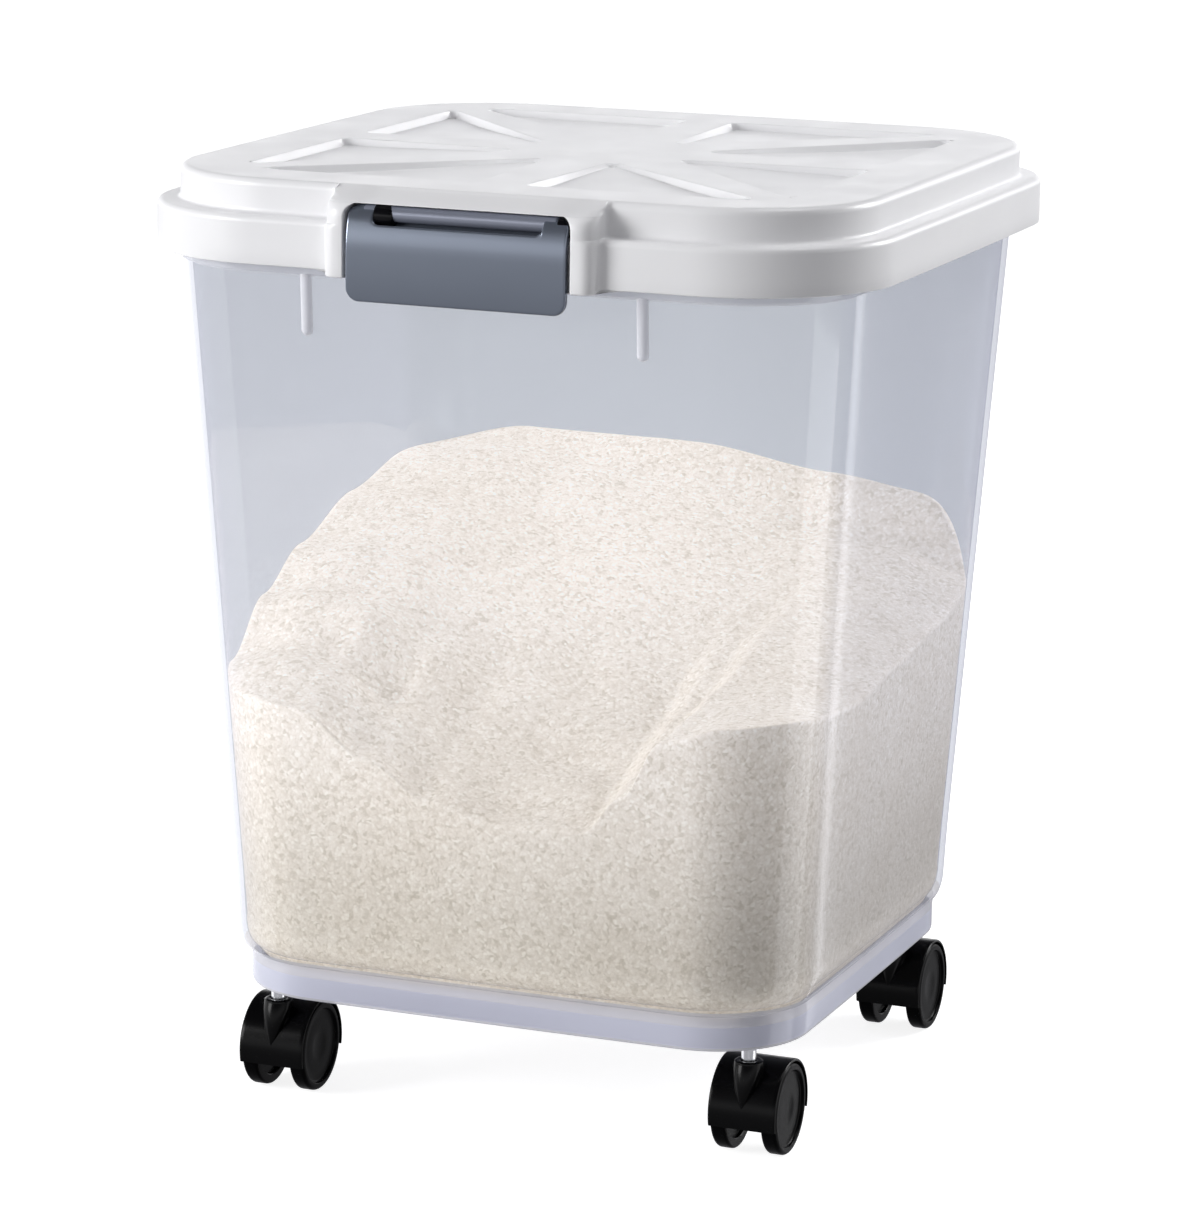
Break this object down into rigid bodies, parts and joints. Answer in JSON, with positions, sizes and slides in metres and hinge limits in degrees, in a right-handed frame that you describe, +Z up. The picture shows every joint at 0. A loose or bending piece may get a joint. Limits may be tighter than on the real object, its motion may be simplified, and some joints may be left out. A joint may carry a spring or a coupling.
{
  "type": "rice bin",
  "caption": "Tapered clear rice bin with a foot ring on twin-wheel swivel casters, and a two-tier hinged lid with a recessed radial top and a front flap latch.",
  "frame": {"origin": "on the floor, below the centre of the closed bin's bounding box", "axes": "+Z up, -Y out of the front where the latch is, +Y towards the lid hinge, +X to the right seen from the front"},
  "size_m": [0.325, 0.342, 0.4088],
  "materials": {
    "clear_tub": "clear blue-grey tinted plastic, polished",
    "white_lid": "satin white",
    "seal": "soft translucent grey",
    "slate_latch": "satin slate blue",
    "grey_pin": "satin lilac grey",
    "steel": "drawn steel",
    "zinc": "bright zinc plate",
    "black_hood": "satin black nylon",
    "black_wheel": "matt black nylon"
  },
  "bodies": {
    "bin": {"bin_body": "clear_tub", "hinge_pin_left": "steel", "hinge_pin_right": "steel", "fl_caster_stem": "zinc", "fr_caster_stem": "zinc", "rl_caster_stem": "zinc", "rr_caster_stem": "zinc", "fl_grip_ring": "steel", "fr_grip_ring": "steel", "rl_grip_ring": "steel", "rr_grip_ring": "steel"},
    "lid": {"lid": "white_lid", "lid_seal": "seal", "latch_pin": "grey_pin"},
    "latch": {"front_latch": "slate_latch"},
    "fl_caster": {"fl_caster_hood": "black_hood", "fl_axle": "steel"},
    "fl_wheel_l": {"fl_wheel_left": "black_wheel"},
    "fl_wheel_r": {"fl_wheel_right": "black_wheel"},
    "fr_caster": {"fr_caster_hood": "black_hood", "fr_axle": "steel"},
    "fr_wheel_l": {"fr_wheel_left": "black_wheel"},
    "fr_wheel_r": {"fr_wheel_right": "black_wheel"},
    "rl_caster": {"rl_caster_hood": "black_hood", "rl_axle": "steel"},
    "rl_wheel_l": {"rl_wheel_left": "black_wheel"},
    "rl_wheel_r": {"rl_wheel_right": "black_wheel"},
    "rr_caster": {"rr_caster_hood": "black_hood", "rr_axle": "steel"},
    "rr_wheel_l": {"rr_wheel_left": "black_wheel"},
    "rr_wheel_r": {"rr_wheel_right": "black_wheel"}
  },
  "joints": [
    {"name": "lid_hinge", "type": "hinge", "parent": "bin", "child": "lid", "pos_m": [0, 0.168, 0.371], "axis": [-1, 0, 0], "range_deg": [0, 105]},
    {"name": "latch_hinge", "type": "hinge", "parent": "lid", "child": "latch", "pos_m": [0, -0.1632, 0.3984], "axis": [-1, 0, 0], "range_deg": [0, 65]},
    {"name": "fl_swivel", "type": "hinge", "parent": "bin", "child": "fl_caster", "pos_m": [-0.109, -0.1045, 0.0365], "axis": [0, 0, 1], "continuous": true},
    {"name": "fl_wheel_l_spin", "type": "hinge", "parent": "fl_caster", "child": "fl_wheel_l", "pos_m": [-0.109, -0.0917, 0.0198], "axis": [-1, 0, 0], "continuous": true},
    {"name": "fl_wheel_r_spin", "type": "hinge", "parent": "fl_caster", "child": "fl_wheel_r", "pos_m": [-0.109, -0.0917, 0.0198], "axis": [-1, 0, 0], "continuous": true},
    {"name": "fr_swivel", "type": "hinge", "parent": "bin", "child": "fr_caster", "pos_m": [0.109, -0.1045, 0.0365], "axis": [0, 0, 1], "continuous": true},
    {"name": "fr_wheel_l_spin", "type": "hinge", "parent": "fr_caster", "child": "fr_wheel_l", "pos_m": [0.109, -0.0917, 0.0198], "axis": [-1, 0, 0], "continuous": true},
    {"name": "fr_wheel_r_spin", "type": "hinge", "parent": "fr_caster", "child": "fr_wheel_r", "pos_m": [0.109, -0.0917, 0.0198], "axis": [-1, 0, 0], "continuous": true},
    {"name": "rl_swivel", "type": "hinge", "parent": "bin", "child": "rl_caster", "pos_m": [-0.109, 0.0915, 0.0365], "axis": [0, 0, 1], "continuous": true},
    {"name": "rl_wheel_l_spin", "type": "hinge", "parent": "rl_caster", "child": "rl_wheel_l", "pos_m": [-0.109, 0.1043, 0.0198], "axis": [-1, 0, 0], "continuous": true},
    {"name": "rl_wheel_r_spin", "type": "hinge", "parent": "rl_caster", "child": "rl_wheel_r", "pos_m": [-0.109, 0.1043, 0.0198], "axis": [-1, 0, 0], "continuous": true},
    {"name": "rr_swivel", "type": "hinge", "parent": "bin", "child": "rr_caster", "pos_m": [0.109, 0.0915, 0.0365], "axis": [0, 0, 1], "continuous": true},
    {"name": "rr_wheel_l_spin", "type": "hinge", "parent": "rr_caster", "child": "rr_wheel_l", "pos_m": [0.109, 0.1043, 0.0198], "axis": [-1, 0, 0], "continuous": true},
    {"name": "rr_wheel_r_spin", "type": "hinge", "parent": "rr_caster", "child": "rr_wheel_r", "pos_m": [0.109, 0.1043, 0.0198], "axis": [-1, 0, 0], "continuous": true}
  ]
}
